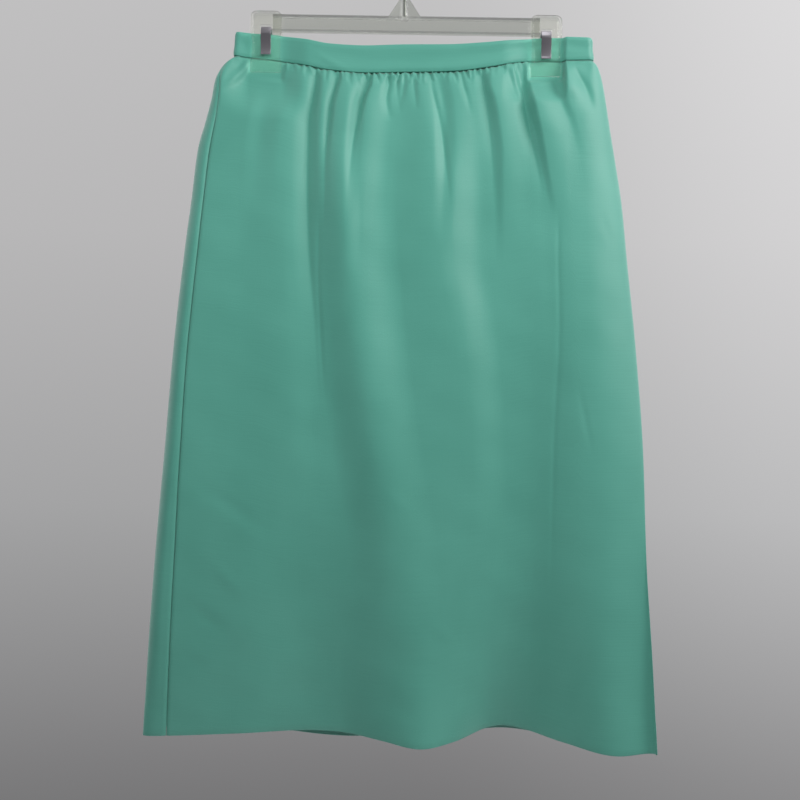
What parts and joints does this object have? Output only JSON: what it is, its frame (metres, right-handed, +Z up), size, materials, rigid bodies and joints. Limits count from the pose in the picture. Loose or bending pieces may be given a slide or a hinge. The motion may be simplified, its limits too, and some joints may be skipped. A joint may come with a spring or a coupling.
{
  "type": "a-line skirt on a clip hanger",
  "caption": "A-line skirt of plain woven cloth, gathered into a narrow waistband, with a centre-back zip, pinched by its band in a clear clip hanger whose hook goes over a rail.",
  "frame": {"origin": "top of the hook's inside, where the rail carries it", "axes": "+Z up; the front faces -Y; +X to the right of someone who faces the front"},
  "size_m": [0.4973, 0.1051, 0.7972],
  "materials": {
    "cloth": "fine plain weave, slight sheen",
    "tape": "woven tape, matte",
    "clear_plastic": "clear, moulded",
    "steel": "plated",
    "zip_metal": "enamelled to match the cloth"
  },
  "bodies": {
    "skirt": {"front_panel": "cloth", "back_panel_left": "cloth", "back_panel_right": "cloth", "waistband": "cloth", "zip_tape": "tape", "zip_slider": "zip_metal", "hanger_bar": "clear_plastic", "hanger_hook": "steel", "clip_left_front_jaw": "clear_plastic", "clip_left_back_jaw": "clear_plastic", "clip_left_spring": "steel", "clip_right_front_jaw": "clear_plastic", "clip_right_back_jaw": "clear_plastic", "clip_right_spring": "steel"},
    "pull": {"zip_pull": "zip_metal"}
  },
  "joints": [
    {"name": "pull_swing", "type": "hinge", "parent": "skirt", "child": "pull", "pos_m": [0.01, 0.0114, -0.112], "axis": [1, 0, 0], "range_deg": [0, 160]}
  ]
}
